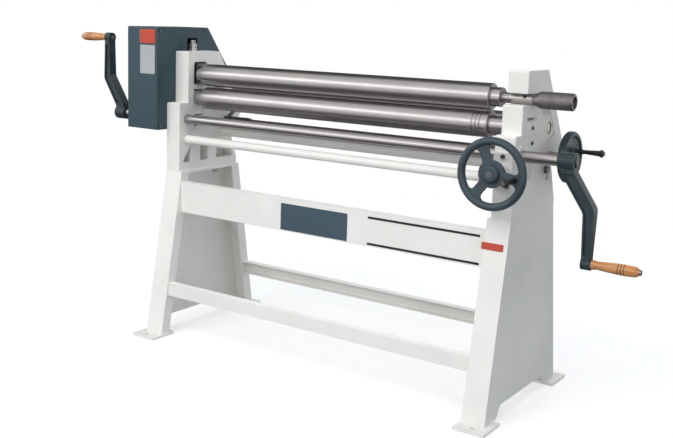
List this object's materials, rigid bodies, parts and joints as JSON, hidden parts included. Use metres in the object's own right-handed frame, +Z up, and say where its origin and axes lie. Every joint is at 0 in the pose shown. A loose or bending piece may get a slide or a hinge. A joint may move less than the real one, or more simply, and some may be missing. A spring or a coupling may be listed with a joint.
{
  "type": "plate rolling machine",
  "caption": "Hand-cranked plate rolling machine on a cream steel stand: three steel rolls between side castings, two cranks, two hand wheels and a covered gear end.",
  "frame": {"origin": "on the floor, at the centre of the four foot bolt holes", "axes": "+X along the rolls towards the hand wheels, +Y to the back, +Z up"},
  "size_m": [2.4912, 0.7023, 1.251],
  "materials": {
    "cream_paint": "satin",
    "cover_paint": "satin",
    "cast_grey": "satin",
    "bright_steel": "satin",
    "dark_steel": "satin",
    "bronze": "satin",
    "wood": "gloss",
    "black_plastic": "gloss"
  },
  "bodies": {
    "machine": {"left_leg": "cream_paint", "right_leg": "cream_paint", "foot_plates": "cream_paint", "front_beam": "cream_paint", "front_rail": "cream_paint", "rear_rail": "cream_paint", "left_frame": "cream_paint", "right_frame": "cream_paint", "frame_bolts": "dark_steel", "front_tie_bar": "cream_paint", "rear_tie_bar": "cream_paint", "tie_screws": "dark_steel", "gear_cover": "cover_paint", "cover_plate": "cover_paint", "cover_screws": "dark_steel", "kingpin": "dark_steel", "lower_pivot": "dark_steel", "pinch_bearing_plates": "cream_paint", "front_flange": "cream_paint", "flange_screws": "dark_steel", "crank_bushes": "bronze"},
    "crank": {"crank_shaft": "bright_steel", "crank_pinion": "dark_steel", "right_crank": "cast_grey", "left_crank": "cast_grey", "crank_spindles": "bright_steel"},
    "grip_right": {"right_grip": "wood"},
    "grip_left": {"left_grip": "wood"},
    "top_swivel": {"swivel_bearing": "dark_steel", "top_bush": "bronze"},
    "top_drive": {"drive_sleeve": "bright_steel", "main_gear": "dark_steel", "top_roll_gear": "dark_steel"},
    "top_roll_body": {"top_roll": "bright_steel", "top_roll_handle": "bright_steel", "coupling_pin": "dark_steel"},
    "bottom_lift": {"bottom_block_left": "cream_paint", "bottom_block_right": "cream_paint", "bottom_bushes": "bronze"},
    "bottom_roll_body": {"bottom_roll": "bright_steel", "bottom_roll_gear": "dark_steel"},
    "front_wheel": {"front_hand_wheel": "cast_grey", "front_wheel_shaft": "bright_steel", "front_handle_pin": "bright_steel"},
    "front_knob": {"front_wheel_handle": "black_plastic"},
    "pinch_right": {"pinch_screw_right": "bright_steel"},
    "pinch_left": {"pinch_screw_left": "bright_steel"},
    "pinch_cross": {"pinch_shaft": "bright_steel"},
    "rear_lift": {"rear_block_left": "cream_paint", "rear_block_right": "cream_paint", "rear_bushes": "bronze", "lift_screws": "bright_steel"},
    "rear_roll_body": {"rear_roll": "bright_steel"},
    "side_wheel": {"side_hand_wheel": "cast_grey", "cross_shaft": "bright_steel", "cross_shaft_sleeve": "dark_steel", "side_handle_pin": "bright_steel"},
    "side_knob": {"side_wheel_handle": "black_plastic"},
    "nut_right": {"lift_nut_right": "bronze"},
    "nut_left": {"lift_nut_left": "bronze"}
  },
  "joints": [
    {"name": "crank_turn", "type": "hinge", "parent": "machine", "child": "crank", "pos_m": [0, -0.135, 0.88252], "axis": [1, 0, 0], "continuous": true},
    {"name": "grip_right_turn", "type": "hinge", "parent": "crank", "child": "grip_right", "pos_m": [1, -0.135, 0.56752], "axis": [1, 0, 0], "continuous": true},
    {"name": "grip_left_turn", "type": "hinge", "parent": "crank", "child": "grip_left", "pos_m": [-1.1, -0.135, 1.19752], "axis": [1, 0, 0], "continuous": true},
    {"name": "top_roll_swing", "type": "hinge", "parent": "machine", "child": "top_swivel", "pos_m": [-0.728, -0.065, 1.062], "axis": [0, 0, -1], "range_deg": [0, 8]},
    {"name": "top_drive_turn", "type": "hinge", "parent": "machine", "child": "top_drive", "pos_m": [-0.728, -0.065, 1.062], "axis": [1, 0, 0], "continuous": true},
    {"name": "top_roll_turn", "type": "hinge", "parent": "top_swivel", "child": "top_roll_body", "pos_m": [0, -0.065, 1.062], "axis": [1, 0, 0], "continuous": true},
    {"name": "pinch_lift", "type": "slide", "parent": "machine", "child": "bottom_lift", "axis": [0, 0, 1], "range_m": [0, 0.0035]},
    {"name": "bottom_roll_turn", "type": "hinge", "parent": "bottom_lift", "child": "bottom_roll_body", "pos_m": [0, -0.065, 0.968], "axis": [1, 0, 0], "continuous": true},
    {"name": "front_wheel_turn", "type": "hinge", "parent": "machine", "child": "front_wheel", "pos_m": [0.728, -0.27, 0.835], "axis": [0, 1, 0], "range_deg": [0, 420]},
    {"name": "front_knob_turn", "type": "hinge", "parent": "front_wheel", "child": "front_knob", "pos_m": [0.806, -0.27, 0.825], "axis": [0, 1, 0], "continuous": true},
    {"name": "pinch_right_turn", "type": "hinge", "parent": "machine", "child": "pinch_right", "pos_m": [0.728, -0.065, 0.835], "axis": [0, 0, 1], "range_deg": [0, 420]},
    {"name": "pinch_cross_turn", "type": "hinge", "parent": "machine", "child": "pinch_cross", "pos_m": [0, -0.065, 0.8758], "axis": [1, 0, 0], "range_deg": [0, 420]},
    {"name": "pinch_left_turn", "type": "hinge", "parent": "machine", "child": "pinch_left", "pos_m": [-0.728, -0.065, 0.8758], "axis": [0, 0, 1], "range_deg": [-420, 0]},
    {"name": "rear_lift_slide", "type": "slide", "parent": "machine", "child": "rear_lift", "axis": [0, -0.5388, 0.8425], "range_m": [0, 0.06]},
    {"name": "rear_roll_turn", "type": "hinge", "parent": "rear_lift", "child": "rear_roll_body", "pos_m": [0, 0.097, 0.957], "axis": [1, 0, 0], "continuous": true},
    {"name": "side_wheel_turn", "type": "hinge", "parent": "machine", "child": "side_wheel", "pos_m": [0.728, 0.10783, 0.86303], "axis": [1, 0, 0], "range_deg": [0, 12150]},
    {"name": "side_knob_turn", "type": "hinge", "parent": "side_wheel", "child": "side_knob", "pos_m": [0.86, 0.16983, 0.87703], "axis": [1, 0, 0], "continuous": true},
    {"name": "nut_right_turn", "type": "hinge", "parent": "machine", "child": "nut_right", "pos_m": [0.728, 0.1428, 0.88539], "axis": [0, 0.5388, -0.8425], "range_deg": [0, 2700]},
    {"name": "nut_left_turn", "type": "hinge", "parent": "machine", "child": "nut_left", "pos_m": [-0.728, 0.1428, 0.88539], "axis": [0, 0.5388, -0.8425], "range_deg": [0, 2700]}
  ],
  "couplings": [
    {"joint": "top_drive_turn", "follows": "crank_turn", "ratio": -0.20312},
    {"joint": "top_roll_turn", "follows": "crank_turn", "ratio": -0.20312},
    {"joint": "bottom_roll_turn", "follows": "crank_turn", "ratio": 0.20312},
    {"joint": "pinch_lift", "follows": "front_wheel_turn", "m_per_rad": 0.00047746},
    {"joint": "pinch_right_turn", "follows": "front_wheel_turn", "ratio": 1},
    {"joint": "pinch_cross_turn", "follows": "front_wheel_turn", "ratio": 1},
    {"joint": "pinch_left_turn", "follows": "front_wheel_turn", "ratio": -1},
    {"joint": "rear_lift_slide", "follows": "side_wheel_turn", "m_per_rad": 0.00028294},
    {"joint": "nut_right_turn", "follows": "side_wheel_turn", "ratio": 0.22222},
    {"joint": "nut_left_turn", "follows": "side_wheel_turn", "ratio": 0.22222}
  ]
}
